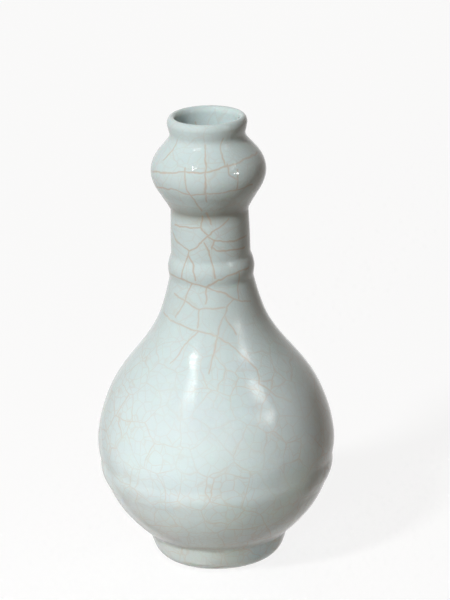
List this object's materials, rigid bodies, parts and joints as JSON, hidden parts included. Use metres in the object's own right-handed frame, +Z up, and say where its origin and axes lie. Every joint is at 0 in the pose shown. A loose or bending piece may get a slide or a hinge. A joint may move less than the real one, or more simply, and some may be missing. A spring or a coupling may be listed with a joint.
{
  "type": "vase",
  "caption": "Bottle vase with a bulb mouth, rolled lip, ringed neck and round belly, in pale celadon crackle glaze.",
  "frame": {"origin": "centre of the foot ring on the resting plane", "axes": "+Z up the axis of the vase, from the foot to the mouth; +X and +Y are free because the form is round"},
  "size_m": [0.1398, 0.1398, 0.271],
  "materials": {
    "stoneware_clay": "matte",
    "luting_slip": "matte",
    "crackle_glaze": "gloss"
  },
  "bodies": {
    "root": {"foot_ring": "stoneware_clay", "lower_belly": "stoneware_clay", "upper_belly": "stoneware_clay", "lower_neck": "stoneware_clay", "upper_neck": "stoneware_clay", "mouth_bulb": "stoneware_clay", "lip_ring": "stoneware_clay", "belly_band": "stoneware_clay", "neck_band": "stoneware_clay", "foot_luting_slip": "luting_slip", "belly_luting_slip": "luting_slip", "shoulder_luting_slip": "luting_slip", "neck_luting_slip": "luting_slip", "bulb_luting_slip": "luting_slip", "lip_luting_slip": "luting_slip", "outer_glaze": "crackle_glaze", "inner_glaze": "crackle_glaze", "base_glaze": "crackle_glaze"}
  },
  "joints": []
}
